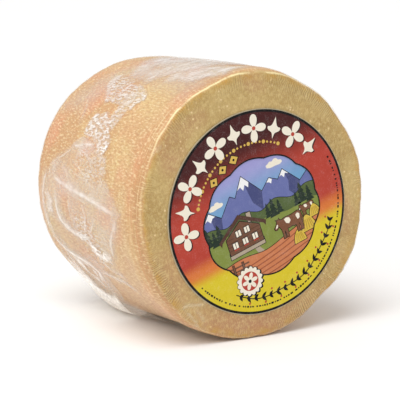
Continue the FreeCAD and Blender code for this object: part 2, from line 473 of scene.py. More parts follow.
def insideOutline(place, corners, soft):
    # 1 well inside a closed outline, 0 well outside, with a soft edge between
    inside = np.zeros(len(place), bool)
    for a, b in zip(corners, np.roll(corners, -1, axis=0)):
        crosses = (a[1] > place[:, 1]) != (b[1] > place[:, 1])
        at = a[0] + (place[:, 1] - a[1]) * (b[0] - a[0]) / (b[1] - a[1] + 1e-12)
        inside ^= crosses & (place[:, 0] < at)
    away = awayFromLine(place, np.vstack([corners, corners[:1]]))[0]
    return smoothstep(-soft / 2, soft / 2, np.where(inside, away, -away))


def makeFilm():
    obj = duplicate(wheelBlank, "shrinkFilm")
    co, no = points(obj), normals(obj)
    angle, _, along = roundAxis(co)
    place = unrolled(along / mm, angle)
    onSide = 1 - smoothstep(0.3, 0.8, np.abs(no[:, 1]))
    # without a seed of its own this noise would differ from run to run
    noise.seed_set(1)
    ragged = np.array([noise.noise_vector(Vector(p) / (4 * mm)) for p in co])[:, :2]
    torn = place + ragged * filmForm["raggedEdge"]
    lift = np.zeros(len(co))
    haze = np.zeros(len(co))
    crease = np.zeros(len(co))
    for width, height, strength, pts in filmCreases:
        line = smoothLine(unrolledLine(pts))
        d, share = awayFromLine(wrapped(place, line[0]) + ragged * 0.3, line)
        taper = tapered(share)
        ridge = bell(d, width) * taper * onSide
        lift = np.maximum(lift, ridge * height * mm)
        crease = np.maximum(crease, ridge * strength)
        # the pale glow beside each crease is painted highlight, partly film whitened by stress
        glow = bell(d, width * filmForm["glowWidth"]) * taper * onSide
        haze = np.maximum(haze, glow * strength * filmForm["glow"])
    chance = random.Random(11)
    # pinch lines, whitened as painted highlight, some of them standing for glints
    for (a, t), count, least, most in pinchesAndGlints:
        spot = unrolled(np.array(a), np.array(t))
        nearby = wrapped(place, spot)
        for k in range(count):
            way = math.radians(360 * (k + chance.uniform(-0.3, 0.3)) / count)
            step = np.array([math.cos(way), math.sin(way)])
            reach = chance.uniform(least, most)
            d, share = awayFromLine(nearby + ragged * 0.4,
                                    [spot + step * pinchForm["start"], spot + step * reach])
            ridge = bell(d, pinchForm["width"]) * (1 - share) ** 0.6 * onSide
            lift = np.maximum(lift, ridge * pinchForm["height"] * mm)
            crease = np.maximum(crease, ridge * pinchForm["haze"])
    for strength, soft, corners in hazeAndSheenPlaces:
        outline = unrolledLine(corners)
        pocket = insideOutline(wrapped(torn, outline[0]), outline, soft) * onSide
        haze = np.maximum(haze, pocket * strength)
        lift += pocket * filmForm["airLift"]
    for strength, soft, corners in clearPlaces:
        haze *= 1 - strength * insideOutline(torn, unrolledLine(corners), soft)
    woven = np.zeros(len(co))
    for soft, corners in wovenPlaces:
        outline = unrolledLine(corners)
        woven = np.maximum(woven, insideOutline(wrapped(torn, outline[0]), outline, soft) * onSide)
    for side, creases in ((-1, frontCreases), (1, backCreases)):
        onEnd = smoothstep(0.3, 0.8, no[:, 1] * side)
        flat = np.stack([side * (axisX - co[:, 0]), co[:, 2] - axisZ], axis=1) / mm + ragged * 0.3
        for width, height, strength, pts in creases:
            d, share = awayFromLine(flat, smoothLine(pts))
            ridge = bell(d, width) * tapered(share) * onEnd
            lift = np.maximum(lift, ridge * height * mm)
            crease = np.maximum(crease, ridge * strength)
            # the pale glow beside each crease on the ends is painted highlight, partly film whitened by
            # stress
            glow = bell(d, width * filmForm["glowWidth"]) * strength * filmForm["endGlow"]
            haze = np.maximum(haze, glow * onEnd)
    strength, soft, corners = backAir
    haze = np.maximum(haze, insideOutline(flat + ragged, np.array(corners, float), soft) * strength * onEnd)
    patchy = np.array([noise.noise(Vector(p) / filmForm["patchSize"]) for p in co])
    haze *= 1 + filmForm["patchy"] * np.clip(patchy, -1, 1)
    co += no * lift[:, None]
    co[:, 2] = np.maximum(co[:, 2], filmForm["floorGap"])
    setPoints(obj, co)
    unroll(obj)
    mark(obj, "hazeAndSheen", haze)
    mark(obj, "crease", crease)
    mark(obj, "woven", woven)
    mark(obj, "endFace", smoothstep(0.55, 0.98, np.abs(normals(obj)[:, 1])))
    wearRim(obj)
    smoothShade(obj, 80)
    return obj


film = makeFilm()
print("film shaped")


# materials

def srgb(r, g, b, alpha=1.0):
    def linear(c):
        c /= 255
        return c / 12.92 if c <= 0.04045 else ((c + 0.055) / 1.055) ** 2.4
    return (linear(r), linear(g), linear(b), alpha)


def feed(tree, node, values):
    # a socket takes another node's output or a fixed value
    for key, value in values.items():
        if isinstance(value, bpy.types.NodeSocket):
            tree.links.new(value, node.inputs[key])
        else:
            node.inputs[key].default_value = value


def put(tree, kind, values, output=None, **settings):
    # a new node, or one output of it
    node = tree.nodes.new("ShaderNode" + kind)
    for key, value in settings.items():
        setattr(node, key, value)
    feed(tree, node, values)
    return node if output is None else node.outputs[output]


def mixColour(tree, factor, a, b, blend="MIX"):
    return put(tree, "Mix", {0: factor, 6: a, 7: b}, 2, data_type="RGBA", blend_type=blend)


def mixValue(tree, factor, a, b):
    return put(tree, "Mix", {0: factor, 2: a, 3: b}, 0)


def sums(tree, operation, a, b=0.0, clamp=False):
    return put(tree, "Math", {0: a, 1: b}, 0, operation=operation, use_clamp=clamp)


def times(tree, a, b, clamp=False):
    return sums(tree, "MULTIPLY", a, b, clamp)


def plus(tree, a, b, clamp=False):
    return sums(tree, "ADD", a, b, clamp)


def spread(tree, value, fromLow, fromHigh, toLow=0.0, toHigh=1.0):
    return put(tree, "MapRange", {"Value": value, "From Min": fromLow, "From Max": fromHigh,
                                  "To Min": toLow, "To Max": toHigh}, "Result")


def speckle(tree, vector, scale, detail=2.0, rough=0.5, warp=0.0):
    return put(tree, "TexNoise", {"Vector": vector, "Scale": scale, "Detail": detail, "Roughness": rough,
                                  "Distortion": warp}, "Fac")


def attribute(tree, name):
    return put(tree, "Attribute", {}, "Fac", attribute_name=name)


def axisOf(tree, vector, axis):
    return put(tree, "SeparateXYZ", {"Vector": vector}, axis)


def mapped(tree, vector, **values):
    return put(tree, "Mapping", {"Vector": vector, **values}, "Vector")


def placesOf(tree):
    # where a point is: in the wheel's own space, and on the unrolled rind
    return put(tree, "TexCoord", {}, "Object"), put(tree, "UVMap", {}, "UV", uv_map="unrolled")


def newGroup(name, inputs, outputs):
    group = bpy.data.node_groups.new(name, "ShaderNodeTree")
    kinds = dict(Vector="NodeSocketVector", Colour="NodeSocketColor")
    for way, labels in (("INPUT", inputs), ("OUTPUT", dict.fromkeys(outputs))):
        for label, value in labels.items():
            kind = kinds.get(label, "NodeSocketFloat")
            socket = group.interface.new_socket(name=label, in_out=way, socket_type=kind)
            if value is not None:
                socket.default_value = value
    return group, group.nodes.new("NodeGroupInput").outputs, group.nodes.new("NodeGroupOutput")


def clothPrint():
    # the imprint of a cheese cloth: short slanting grains with a size and a lean
    group, given, end = newGroup("clothPrint", dict(Vector=None, Grain=900.0), ("Height", "Fleck"))
    grains = []
    for lean, squeeze, detail, rough, warp in ((48, 0.36, 1.5, 0.55, 0.35), (-40, 0.55, 1.0, 0.5, 0.0)):
        thread = mapped(group, given["Vector"], Rotation=(0, 0, math.radians(lean)),
                        Scale=(1.0, squeeze, 1.0))
        grains.append(speckle(group, thread, given["Grain"], detail, rough, warp))
    both = plus(group, times(group, grains[0], 0.72), times(group, grains[1], 0.28))
    feed(group, end, {"Height": spread(group, both, 0.32, 0.68), "Fleck": spread(group, both, 0.52, 0.62)})
    return group


# pleats: how far apart, how far in they reach, and the strongest stretches: middle and reach in degrees
pleatForm = dict(apart=1.1 * mm, reach=11 * mm, stretches=[(60, 32), (212, 26), (300, 20)])


def rimPuckers():
    # fine radial pleats of the film where it turns over the rim: their height, with masks for painted
    # highlight on the crests and painted shade in the valleys
    group, given, end = newGroup("rimPuckers", dict(Vector=None), ("Height", "litCrest", "shadedValley"))
    flat = given["Vector"]
    rimLength = 2 * math.pi * meanRadius
    across = axisOf(group, flat, "X")
    profile = sums(group, "ABSOLUTE", axisOf(group, flat, "Y"))
    drift = times(group, speckle(group, flat, 120.0), 20.0)
    turn = plus(group, times(group, across, 2 * math.pi / pleatForm["apart"]), drift)
    pleat = plus(group, times(group, sums(group, "SINE", turn), 0.34), 0.5)
    drawn = put(group, "CombineXYZ", {"X": across, "Y": times(group, profile, 0.10)}, "Vector")
    both = plus(group, times(group, pleat, 0.7), times(group, speckle(group, drawn, 900.0, 1.0), 0.3))
    near = times(group, spread(group, profile, wheelHalf - 1.5 * mm, wheelHalf + 1.0 * mm),
                 spread(group, profile, wheelHalf + pleatForm["reach"], wheelHalf + 2.5 * mm), True)
    uneven = spread(group, speckle(group, flat, 48.0), 0.44, 0.62, 0.05, 0.50)
    for middle, reach in pleatForm["stretches"]:
        away = sums(group, "ABSOLUTE", sums(group, "SUBTRACT", across, (middle + 90) % 360 / 360 * rimLength))
        strong = spread(group, away, reach / 360 * rimLength, reach / 1080 * rimLength, 0.0, 0.8)
        uneven = sums(group, "MAXIMUM", uneven, strong)
    height = times(group, sums(group, "SUBTRACT", both, 0.5), times(group, near, uneven))
    feed(group, end, {"Height": height, "litCrest": spread(group, height, 0.02, 0.20),
                      "shadedValley": spread(group, height, -0.02, -0.20)})
    return group


clothGroup = clothPrint()
clothScale = 1150.0
puckerGroup = rimPuckers()


def newMaterial(name, **shader):
    material = bpy.data.materials.new(name)
    material.use_nodes = True
    tree = material.node_tree
    skin = tree.nodes["Principled BSDF"]
    feed(tree, skin, shader)
    return material, tree, skin


def raised(tree, skin, height, strength, distance=mm):
    bump = put(tree, "Bump", {"Strength": strength, "Distance": distance, "Height": height}, "Normal")
    feed(tree, skin, {"Normal": bump})


rind = dict(peach=srgb(206, 160, 108), butter=srgb(216, 182, 124), amber=srgb(212, 152, 102),
            pink=srgb(220, 154, 114), cream=srgb(244, 222, 174), gap=srgb(190, 136, 90),
            endTan=srgb(198, 167, 102), endOlive=srgb(181, 147, 80), endPale=srgb(228, 208, 146),
            endPink=srgb(186, 126, 90), endDark=srgb(152, 124, 74), rimTan=srgb(193, 144, 88),
            rimHighlightGold=srgb(250, 234, 178), nickGold=srgb(198, 152, 60), low=srgb(226, 194, 158))
# bandStart and bandEnd place the darker band beside the rim; lineAt, lineWidth and wander place the painted
# rim highlight
rimForm = dict(bandStart=6.5 * mm, bandEnd=2.2 * mm, lineAt=0.7 * mm, lineWidth=0.9 * mm, wander=0.5 * mm)


def layered(tree, colour, layers):
    # one tone of the rind after another, each laid on by its own mask
    for mask, tone in layers:
        colour = mixColour(tree, mask, colour, rind[tone])
    return colour


def sideColour(tree, place, flat, cloth, profile, height):
    # peach and butter with warmer blotches, paler low down and darker beside the rim
    broad = spread(tree, speckle(tree, place, 26.0), 0.42, 0.60)
    blotch = spread(tree, speckle(tree, place, 60.0, 3.0, 0.6, 0.4), 0.50, 0.68, 0.0, 0.55)
    apart = speckle(tree, mapped(tree, place, Location=(3, 1, 2)), 45.0)
    bandStart, bandEnd = wheelHalf - rimForm["bandStart"], wheelHalf - rimForm["bandEnd"]
    rimBand = times(tree, spread(tree, profile, bandStart, bandEnd, 0.0, 0.9),
                    spread(tree, height, 105 * mm, 75 * mm, 0.35, 1.0))
    side = layered(tree, mixColour(tree, broad, rind["peach"], rind["butter"]), [
        (blotch, "amber"),
        (spread(tree, apart, 0.50, 0.68, 0.0, 0.7), "pink"),
        (spread(tree, height, 52 * mm, 22 * mm, 0.0, 0.35), "low"),
        (rimBand, "rimTan"),
        (times(tree, cloth["Fleck"], 0.60), "cream"),
        (spread(tree, cloth["Height"], 0.45, 0.08, 0.0, 0.62), "gap")])

    # fine lines round the wheel where the film pulls tight beside the rim
    pulled = times(tree, spread(tree, profile, wheelHalf - 13 * mm, wheelHalf - 3 * mm),
                   spread(tree, profile, wheelHalf + 0.5 * mm, wheelHalf - 1.5 * mm), True)
    streak = speckle(tree, mapped(tree, flat, Scale=(0.035, 1.0, 1.0)), 900.0, 2.0, 0.6, 0.1)
    return layered(tree, side, [
        (times(tree, spread(tree, streak, 0.50, 0.60, 0.0, 0.55), pulled), "amber"),
        (times(tree, spread(tree, streak, 0.46, 0.36, 0.0, 0.5), pulled), "cream")])


def endColour(tree, place, pucker, profile, height, fine):
    # tan and olive, finer grained, warmer near the bottom, with golden nicks near the rim
    broad = spread(tree, speckle(tree, place, 55.0, 3.0), 0.38, 0.62)
    warm = sums(tree, "MAXIMUM", spread(tree, speckle(tree, place, 38.0), 0.54, 0.68, 0.0, 0.45),
                spread(tree, height, 24 * mm, 4 * mm, 0.0, 0.85))
    dots = put(tree, "TexVoronoi", {"Vector": place, "Scale": 420.0, "Randomness": 1.0}, "Distance")
    dot = times(tree, spread(tree, dots, 0.24, 0.12, 0.0, 0.7),
                spread(tree, speckle(tree, place, 90.0, 1.0), 0.48, 0.62))
    nickBand = times(tree, spread(tree, profile, wheelHalf + 0.8 * mm, wheelHalf + 1.8 * mm),
                     spread(tree, profile, wheelHalf + 6.0 * mm, wheelHalf + 2.4 * mm), True)
    nicks = spread(tree, speckle(tree, place, 210.0, 3.0, 0.6, 0.3), 0.44, 0.62, 0.15, 0.9)
    return layered(tree, mixColour(tree, broad, rind["endTan"], rind["endOlive"]), [
        (warm, "endPink"),
        (spread(tree, fine, 0.47, 0.68, 0.0, 0.75), "endPale"),
        (spread(tree, fine, 0.42, 0.28, 0.0, 0.7), "endDark"),
        (dot, "cream"),
        # painted highlight on the pleats' crests and painted shade in their valleys
        (times(tree, pucker["litCrest"], 0.85), "endPale"),
        (times(tree, pucker["shadedValley"], 0.85), "endDark"),
        (times(tree, nickBand, nicks), "nickGold")])


def paintedRimLine(tree, place, profile, height):
    # a painted highlight: a thin broken pale line on the rim that wanders a little and is brighter high up,
    # where the light falls on it
    wander = spread(tree, speckle(tree, place, 130.0, 3.0), 0.3, 0.7, -rimForm["wander"], rimForm["wander"])
    off = sums(tree, "SUBTRACT", plus(tree, profile, wander), wheelHalf + rimForm["lineAt"])
    line = times(tree, spread(tree, sums(tree, "ABSOLUTE", off), rimForm["lineWidth"], 0.1 * mm),
                 spread(tree, speckle(tree, place, 110.0, 4.0, 0.7), 0.38, 0.52, 0.10, 1.0))
    return times(tree, line, spread(tree, height, 76 * mm, 102 * mm, 0.28, 1.0))


def rindMaterial():
    material, tree, skin = newMaterial("washedRind", **{
        "Roughness": 0.55, "Coat Weight": 0.3, "Coat Roughness": 0.28, "Subsurface Weight": 0.08,
        "Subsurface Scale": 0.003, "Subsurface Radius": (1.0, 0.6, 0.35)})
    place, flat = placesOf(tree)
    isEnd = attribute(tree, "endFace")
    cloth = put(tree, "Group", {"Vector": flat, "Grain": clothScale}, node_tree=clothGroup).outputs
    pucker = put(tree, "Group", {"Vector": flat}, node_tree=puckerGroup).outputs
    profile = sums(tree, "ABSOLUTE", axisOf(tree, flat, "Y"))
    height = axisOf(tree, place, "Z")
    level = put(tree, "CombineXYZ", {"X": axisOf(tree, place, "X"), "Y": height}, "Vector")
    endCloth = put(tree, "Group", {"Vector": level, "Grain": clothScale * 1.3}, "Height",
                   node_tree=clothGroup)
    fine = plus(tree, times(tree, speckle(tree, place, 720.0, 3.0, 0.65), 0.5),
                spread(tree, endCloth, 0.0, 1.0, 0.17, 0.33))
    colour = mixColour(tree, isEnd, sideColour(tree, place, flat, cloth, profile, height),
                       endColour(tree, place, pucker, profile, height, fine))
    # the painted rim highlight, laid over the rind's colour
    colour = mixColour(tree, paintedRimLine(tree, place, profile, height), colour, rind["rimHighlightGold"])
    feed(tree, skin, {"Base Color": colour})
    relief = times(tree, cloth["Height"], spread(tree, isEnd, 0.0, 1.0, 0.24, 0.0))
    relief = plus(tree, relief, times(tree, fine, times(tree, isEnd, 0.30)))
    relief = plus(tree, relief, times(tree, pucker["Height"], 0.6))
    raised(tree, skin, relief, 1.0)
    return material


def filmMaterial():
    material, tree, skin = newMaterial("clearFilm", **{"Roughness": 0.22, "IOR": 1.45,
                                                       "Emission Strength": 0.15})
    place, flat = placesOf(tree)
    hazeSheen, fold, woven, onEnd = (attribute(tree, name) for name in ("hazeAndSheen", "crease", "woven", "endFace"))
    height = axisOf(tree, place, "Z")

    # the veil over air and the painted sheen: cloudy, thinner where the film touches the cloth, dashed where
    # it bridges threads
    cloth = put(tree, "Group", {"Vector": flat, "Grain": clothScale}, "Height", node_tree=clothGroup)
    cloud = spread(tree, speckle(tree, place, 190.0, 3.0, 0.6, 0.5), 0.30, 0.70, 0.62, 1.12)
    touching = spread(tree, cloth, 0.35, 0.95, 0.0, 0.30)
    veil = times(tree, times(tree, hazeSheen, cloud), sums(tree, "SUBTRACT", 1.0, touching))
    threads = put(tree, "Group", {"Vector": flat, "Grain": clothScale * 0.72}, "Height", node_tree=clothGroup)
    dashes = spread(tree, threads, 0.34, 0.66, 0.50, 1.42)
    veil = times(tree, veil, mixValue(tree, woven, 1.0, dashes), True)
    # the whitening along a crease ridge: partly stressed film, partly painted highlight
    ridge = times(tree, fold, spread(tree, speckle(tree, place, 110.0, 3.0, 0.6, 0.6), 0.34, 0.62, 0.66,
                                     1.02))
    haze = sums(tree, "MAXIMUM", veil, ridge)
    # whiter where the film is seen edge-on: painted reflection at grazing angles
    edge = times(tree, put(tree, "LayerWeight", {"Blend": 0.25}, "Fresnel"), 0.16)
    alpha = plus(tree, sums(tree, "MAXIMUM", haze, edge), 0.03, True)
    tone = mixColour(tree, spread(tree, haze, 0.15, 0.60), srgb(226, 219, 209), srgb(248, 244, 238))
    # on the ends the whitening is tinted cream, the colour of the painted crease highlights there
    tone = mixColour(tree, times(tree, onEnd, 0.8), tone, srgb(234, 216, 172))
    # low down near the floor it is tinted warmer: painted light bounced up from the floor and rind
    tone = mixColour(tree, spread(tree, height, 12 * mm, 3 * mm), tone, srgb(234, 224, 210))

    # painted glow: the loose film low down emits light, standing in for the floor's light coming through it
    through = times(tree, spread(tree, height, 46 * mm, 20 * mm), spread(tree, hazeSheen, 0.40, 0.85))
    glow = mixColour(tree, through, srgb(0, 0, 0), srgb(255, 250, 242))
    feed(tree, skin, {"Alpha": alpha, "Base Color": tone, "Emission Color": glow})
    pucker = put(tree, "Group", {"Vector": flat}, "Height", node_tree=puckerGroup)
    ripple = times(tree, speckle(tree, place, 240.0, 3.0, 0.6, 0.8), 0.5)
    raised(tree, skin, plus(tree, ripple, times(tree, pucker, 0.5)), 0.6)
    return material


def dress(obj, material):
    obj.data.materials.clear()
    obj.data.materials.append(material)


dress(cheese, rindMaterial())
dress(film, filmMaterial())
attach(cheese, "root")
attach(film, "root")
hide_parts("wrapped_wheel")
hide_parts("wrapped_wheel")

clearSelection()
bpy.data.objects.remove(wheelBlank)


# the label: paper with its print laid on it as thin flat shapes, the lowest colour first

labelForm = dict(turn=20, layer=0.012 * mm, ink=0.010 * mm, ringOuter=44.8, ringInner=43.75,
                 frameCentre=(1.0, -2.5), frameHalf=(29.5, 26.0), frameLobes=10, frameDepth=0.045,
                 frameLine=0.65, rampHalf=44)
inks = dict(black=srgb(14, 12, 13), cream=srgb(238, 230, 212), white=srgb(240, 240, 240),
            maroon=srgb(70, 28, 28), red=srgb(180, 66, 52), orange=srgb(214, 120, 58),
            yellow=srgb(214, 194, 44), gold=srgb(212, 176, 84), skyBlue=srgb(112, 160, 200),
            lavender=srgb(158, 156, 208), peakBlue=srgb(104, 112, 166), peakShade=srgb(70, 76, 122),
            pine=srgb(38, 52, 40), hill=srgb(84, 100, 58), meadow=srgb(128, 140, 66),
            field=srgb(200, 124, 82), furrow=srgb(150, 80, 54), timber=srgb(112, 76, 56),
            roof=srgb(84, 56, 46), stone=srgb(176, 160, 140), cow=srgb(122, 80, 56),
            hay=srgb(212, 182, 70), hayShade=srgb(168, 128, 52), shade=srgb(60, 30, 30))
# inks that change from the bottom of the label to the top: height in mm, then the ink there
ramps = dict(sky=[(-44, "skyBlue"), (6, "skyBlue"), (22, "lavender"), (44, "lavender")],
             band=[(-44, "yellow"), (-19, "yellow"), (-12.5, "orange"), (-6, "red"), (10, "red"),
                   (32, "maroon"),
                   (44, "maroon")])


def paperGrain():
    # paper fibre and uneven ink: a lighter and darker colour, and a height
    group, given, end = newGroup("paperGrain", dict(Vector=None, Colour=(0.8, 0.8, 0.8, 1), Amount=0.2),
                                 ("Colour", "Height"))
    colour, amount = given["Colour"], given["Amount"]
    fibre = speckle(group, given["Vector"], 2600.0, 2.0, 0.6)
    both = plus(group, times(group, fibre, 0.6), times(group, speckle(group, given["Vector"], 260.0), 0.4))
    darker = mixColour(group, 1.0, colour, (0.55, 0.52, 0.52, 1), "MULTIPLY")
    lighter = mixColour(group, 0.35, colour, (1, 1, 1, 1))
    low = times(group, spread(group, both, 0.48, 0.25), amount)
    high = times(group, spread(group, both, 0.52, 0.75), amount)
    mottled = mixColour(group, high, mixColour(group, low, colour, darker), lighter)
    feed(group, end, {"Colour": mottled, "Height": fibre})
    return group


grainGroup = paperGrain()


def printedPaper(name, colour=None, ramp=None, amount=0.28):
    # ink on coated paper: one colour, or colours that change down the label
    material, tree, skin = newMaterial(name, **{"Roughness": 0.38, "Specular IOR Level": 0.12,
                                                "Coat Weight": 0.04, "Coat Roughness": 0.2})
    place = put(tree, "TexCoord", {}, "Object")
    if ramp:
        turn, half = math.radians(labelForm["turn"]), labelForm["rampHalf"]
        way = (-math.sin(turn), 0, math.cos(turn))
        off = put(tree, "VectorMath", {0: place, 1: (-labelCentre.x, 0, -labelCentre.z)}, "Vector",
                  operation="ADD")
        up = put(tree, "VectorMath", {0: off, 1: way}, "Value", operation="DOT_PRODUCT")
        blend = put(tree, "ValToRGB", {"Fac": spread(tree, up, -half * mm, half * mm)})
        blend.color_ramp.interpolation = "EASE"
        elements = blend.color_ramp.elements
        elements[0].color = inks[ramp[0][1]]
        elements[1].color = inks[ramp[-1][1]]
        for at, tone in ramp[1:-1]:
            elements.new((at + half) / (2 * half)).color = inks[tone]
        colour = blend.outputs["Color"]
    grain = put(tree, "Group", {"Vector": place, "Colour": colour, "Amount": amount},
                node_tree=grainGroup).outputs
    feed(tree, skin, {"Base Color": grain["Colour"]})
    raised(tree, skin, grain["Height"], 0.12, 0.2 * mm)
    return material


inkMaterials = {}


def inkOf(tone):
    if tone not in inkMaterials:
        inkMaterials[tone] = printedPaper(tone + "Ink", inks.get(tone), ramps.get(tone))
    return inkMaterials[tone]


# outlines are lists of (right, up) in mm from the label's centre, run anticlockwise

def polar(radius, angle, centre=(0, 0)):
    return (centre[0] + radius * math.cos(math.radians(angle)),
            centre[1] + radius * math.sin(math.radians(angle)))


def roundOutline(radius, centre=(0, 0), count=72):
    return [polar(radius, 360 * k / count, centre) for k in range(count)]


def lobedOutline(half, centre, lobes, depth, turn=0, count=240):
    outline = []
    for k in range(count):
        angle = 360 * k / count
        swell = 1 + depth * (abs(math.cos(math.radians((angle - turn) * lobes / 2))) - 0.6)
        u, v = polar(swell, angle)
        outline.append((centre[0] + u * half[0], centre[1] + v * half[1]))
    return outline


def grown(outline, by):
    # the same outline moved outwards
    pts = np.array(outline, float)
    ahead, behind = np.roll(pts, -1, axis=0) - pts, pts - np.roll(pts, 1, axis=0)
    out = []
    for edge in (behind, ahead):
        edge = edge / np.maximum(np.linalg.norm(edge, axis=1), 1e-9)[:, None]
        out.append(np.stack([edge[:, 1], -edge[:, 0]], axis=1))
    share = 1 + np.sum(out[0] * out[1], axis=1)
    move = (out[0] + out[1]) / np.maximum(share, 0.5)[:, None]
    return list(pts + move * by)


def moved(outline, centre, angle=0, size=1.0):
    c, s = math.cos(math.radians(angle)) * size, math.sin(math.radians(angle)) * size
    return [(centre[0] + c * u - s * v, centre[1] + s * u + c * v) for u, v in outline]


def leafOutline(length, width, count=14):
    upper = [(length * k / count, width / 2 * math.sin(math.pi * (k / count) ** 0.8))
             for k in range(count + 1)]
    lower = [(u, -v) for u, v in upper[1:-1]]
    return lower + upper[::-1]


def strip(line, width):
    # a line given a width
    pts = np.array(line, float)
    along = np.gradient(pts, axis=0)
    along /= np.linalg.norm(along, axis=1)[:, None]
    side = np.stack([along[:, 1], -along[:, 0]], axis=1) * width / 2
    return list(pts + side) + list(pts - side)[::-1]


def layPrint(name, outlines, layer, tone):
    # flat filled curves made into one thin closed mesh in front of the label
    clearSelection()
    bpy.ops.curve.primitive_bezier_circle_add()
    obj = bpy.context.object
    obj.name = name
    curve = obj.data
    curve.splines.clear()
    curve.dimensions = "2D"
    curve.fill_mode = "BOTH"
    curve.extrude = labelForm["ink"] / 2
    for outline in outlines:
        spline = curve.splines.new("POLY")
        spline.points.add(len(outline) - 1)
        for point, (u, v) in zip(spline.points, outline):
            point.co = (u * mm, v * mm, 0, 1)
        spline.use_cyclic_u = True
    bpy.ops.object.convert(target="MESH")
    obj = bpy.context.object
    obj.location = (labelCentre.x, labelLow.y - labelForm["layer"] * (layer + 1), labelCentre.z)
    obj.rotation_euler = (math.pi / 2, -math.radians(labelForm["turn"]), 0)
    bpy.ops.object.transform_apply(location=True, rotation=True, scale=True)
    bpy.ops.object.mode_set(mode="EDIT")
    bpy.ops.mesh.select_all(action="SELECT")
    bpy.ops.mesh.remove_doubles(threshold=0.001 * mm)
    bpy.ops.mesh.normals_make_consistent(inside=False)
    bpy.ops.object.mode_set(mode="OBJECT")
    obj.name = name
    obj.data.name = name
    dress(obj, inkOf(tone))
    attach(obj, "root")


def kept(outline, limit=40):
    # an outline pulled in to stay under the label's border
    return [polar(min(math.hypot(u, v), limit), math.degrees(math.atan2(v, u))) for u, v in outline]


def outlined(name, outlines, layer, tone, line=0.3):
    layPrint(name + "Line", [grown(o, line) for o in outlines], layer, "black")
    layPrint(name, outlines, layer + 1, tone)


dress(labelNode, printedPaper("labelPaper", srgb(196, 182, 150), amount=0.4))

frameOutline = lobedOutline(labelForm["frameHalf"], labelForm["frameCentre"], labelForm["frameLobes"],
                            labelForm["frameDepth"], turn=18)


def firOutline(height):
    half = [(0.40, 0), (0.16, 0.24), (0.31, 0.26), (0.12, 0.48), (0.23, 0.50), (0.08, 0.72), (0.15, 0.74)]
    right = [(u * height * 0.8, v * height) for u, v in half]
    return right + [(0, height)] + [(-u, v) for u, v in right[::-1]]


def layLandscape():
    layPrint("printSky", [roundOutline(34, labelForm["frameCentre"])], 0, "sky")
    cloud = [(0, 0), (2.2, -0.5), (5, -0.4), (7.6, -0.5), (9, 0.3), (8.6, 1.4), (7.2, 1.9), (6.2, 3.0),
             (4.6, 3.1), (3.6, 2.3), (2.2, 2.6), (1.0, 1.9), (-0.3, 1.3)]
    cloud = smoothLine(cloud + cloud[:1], 4)[:-1]
    layPrint("printClouds", [moved(cloud, (-22.5, 10.5), 4, 0.8), moved(cloud, (10, 16.5), -3, 0.9)], 1,
             "cream")
    farPeaks = [(-36, -12), (36, -12), (36, 2), (29, 7.5), (24, 4.5), (17, 13), (13.6, 9.6), (9.5, 12.2),
                (4.4, 8.2), (-3.4, 18.6), (-9, 10.8), (-11.4, 12.6), (-18, 5.6), (-23.5, 10.2), (-30, 3),
                (-36, 5)]
    outlined("printFarPeaks", [farPeaks], 1.6, "peakBlue")
    shade = [[(17, 13), (24, 4.5), (21, -2), (17.4, 2.6), (18.4, 7)],
             [(-3.4, 18.6), (4.4, 8.2), (2.6, 0), (-1.4, 5.4), (-2.4, 11)],
             [(-23.5, 10.2), (-18, 5.6), (-19.4, -1), (-22.6, 3.4)]]
    layPrint("printPeakShade", [o[::-1] for o in shade], 3.6, "peakShade")
    snow = [[(-3.4, 18.6), (-6.9, 13.7), (-5.2, 14.4), (-4.2, 12.4), (-2.8, 14.6), (-1.4, 12.8),
             (-0.6, 14.9)],
            [(17, 13), (14.6, 10.5), (15.8, 10.8), (16.8, 9.2), (17.8, 10.9), (19.4, 10.0)],
            [(-23.5, 10.2), (-26.3, 7.1), (-24.8, 7.7), (-23.6, 6.0), (-22.2, 7.6), (-20.8, 7.9)],
            [(9.5, 12.2), (7.7, 10.8), (9.0, 10.4), (9.8, 9.4), (10.8, 11.1)]]
    layPrint("printSnow", snow, 4.6, "white")
    ridge = smoothLine([(36, 0), (26, 2.2), (18, -0.5), (9, 2.6), (1, 0.2), (-8, 3.4), (-17, 0.4),
                        (-26, 2.8), (-36, -1)], 6)
    outlined("printHills", [[(-36, -16), (36, -16)] + list(ridge)], 5.6, "hill", 0.25)
    turf = smoothLine([(36, -7), (25, -4.6), (14, -5.4), (4, -3.4), (-8, -5.2), (-20, -3.0), (-36, -6)], 6)
    layPrint("printMeadow", [[(-36, -24), (36, -24)] + list(turf)], 7.6, "meadow")
    firs = [(-27.5, -4, 9), (-24.4, -5, 7), (-21.6, -4, 8.2), (4.2, -4.2, 6.6), (7.0, -5, 8.6),
            (10.2, -4.6, 6.4), (22.6, -5.2, 9.4), (26.2, -6, 7.4), (19.4, -5.4, 6.2)]
    layPrint("printFirs", [moved(firOutline(h), (u, v)) for u, v, h in firs[::2]], 8.6, "pine")
    layPrint("printFirsNear", [moved(firOutline(h), (u, v)) for u, v, h in firs[1::2]], 9.2, "pine")
    path = smoothLine([(-6, -30), (-1, -22), (-5, -16), (-7, -11.5)], 6)
    half = np.linspace(5.5, 1.6, len(path))[:, None] * (0.5, 0)
    layPrint("printPath", [list(path + half) + list(path - half)[::-1]], 8.6, "stone")


def boxOutline(u, v, width, height):
    return [(u, v), (u + width, v), (u + width, v + height), (u, v + height)]


